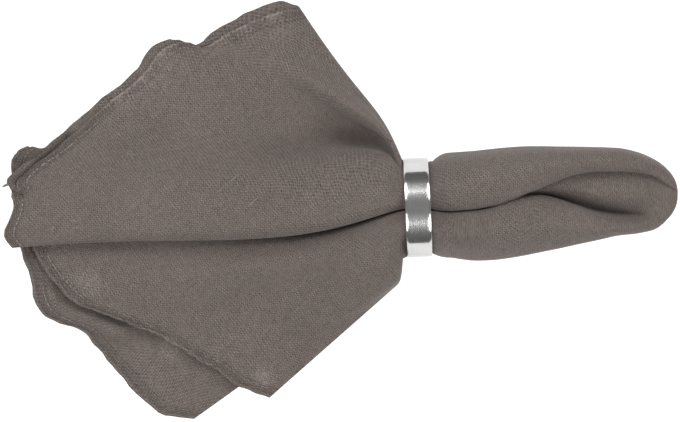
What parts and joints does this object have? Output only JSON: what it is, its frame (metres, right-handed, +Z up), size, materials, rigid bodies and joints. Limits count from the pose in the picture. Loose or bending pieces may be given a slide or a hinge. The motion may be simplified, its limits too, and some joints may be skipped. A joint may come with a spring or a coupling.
{
  "type": "linen napkin in a ring",
  "caption": "Hemmed linen napkin folded in quarters and drawn by its centre through a round polished metal ring, its hems fanned out on the table and its rolled tail lying beside them.",
  "frame": {"origin": "centre of the part's bounding box, on the table that it lies on", "axes": "+X along the napkin from the fanned hems to the closed tip, +Z up from the table"},
  "size_m": [0.3223, 0.2002, 0.0474],
  "materials": {
    "linen": "matte taupe plain-weave linen",
    "metal": "polished band with faint brushing around it"
  },
  "bodies": {
    "root": {"napkin": "linen", "ring": "metal"}
  },
  "joints": []
}
